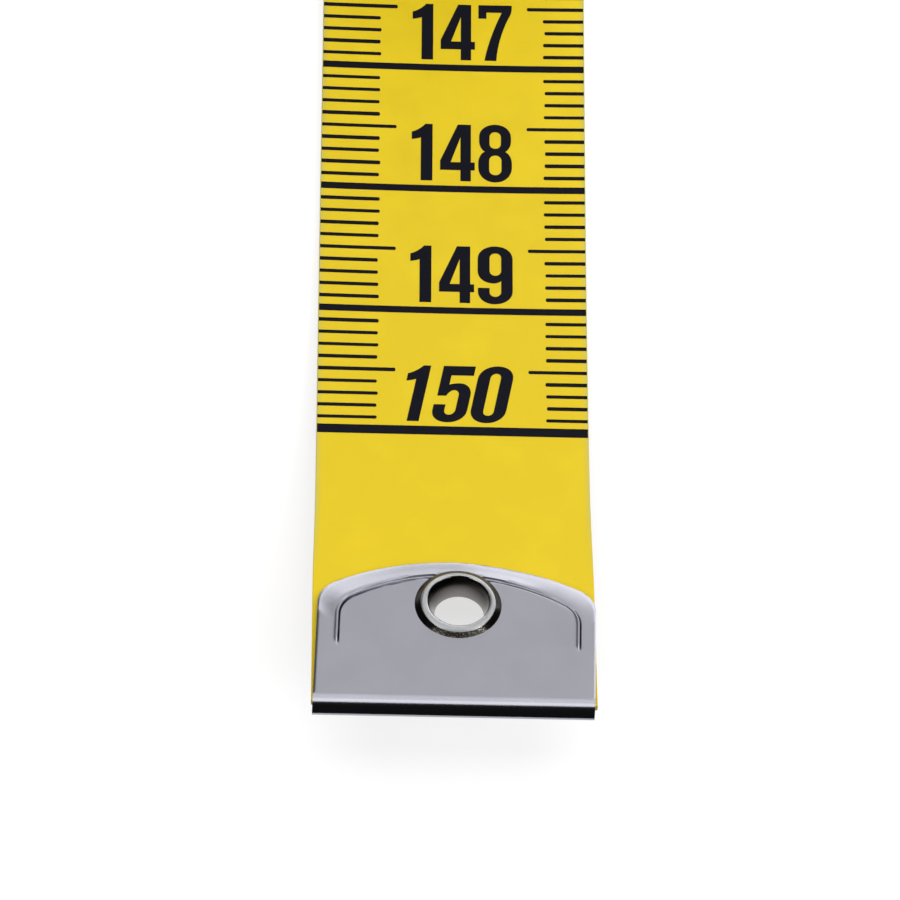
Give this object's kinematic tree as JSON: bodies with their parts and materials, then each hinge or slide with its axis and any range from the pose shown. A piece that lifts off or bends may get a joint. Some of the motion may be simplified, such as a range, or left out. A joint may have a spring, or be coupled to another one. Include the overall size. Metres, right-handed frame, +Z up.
{
  "type": "cloth tape measure",
  "caption": "Tailor's cloth tape measure, partly unrolled: a yellow printed tape whose free end carries a folded metal clip with an eyelet, and whose rest is wound in a standing roll.",
  "frame": {"origin": "middle of the flat underside of the stretch that the roll stands on", "axes": "+Z up, +Y along the tape from the free end with the clip to the roll, +X across the tape"},
  "size_m": [0.0191, 0.1093, 0.044],
  "materials": {
    "yellow_pvc": "smooth satin yellow coat",
    "glass_cloth": "woven glass-fibre cloth",
    "satin_nickel": "nickel-plated steel sheet, satin",
    "dark_nickel": "polished nickel-plated brass, darkened",
    "print_ink": "printed blue-black ink"
  },
  "bodies": {
    "roll": {"roll_front_coat": "yellow_pvc", "roll_cloth": "glass_cloth", "roll_back_coat": "yellow_pvc", "base_front_coat": "yellow_pvc", "base_cloth": "glass_cloth", "base_back_coat": "yellow_pvc", "start_clip": "satin_nickel"},
    "lead": {"lead_front_coat": "yellow_pvc", "lead_cloth": "glass_cloth", "lead_back_coat": "yellow_pvc"},
    "tip": {"tip_front_coat": "yellow_pvc", "tip_cloth": "glass_cloth", "tip_back_coat": "yellow_pvc", "end_clip": "satin_nickel", "eyelet": "dark_nickel"}
  },
  "joints": [
    {"name": "lead_lift", "type": "hinge", "parent": "roll", "child": "lead", "pos_m": [0, -0.007, 0.0005], "axis": [-1, 0, 0], "range_deg": [0, 50], "stiffness_Nm_per_rad": 0.02},
    {"name": "tip_flex", "type": "hinge", "parent": "lead", "child": "tip", "pos_m": [0, -0.04498, 0.00078], "axis": [-1, 0, 0], "range_deg": [-6, 75], "stiffness_Nm_per_rad": 0.02, "springref_deg": 1.35}
  ]
}
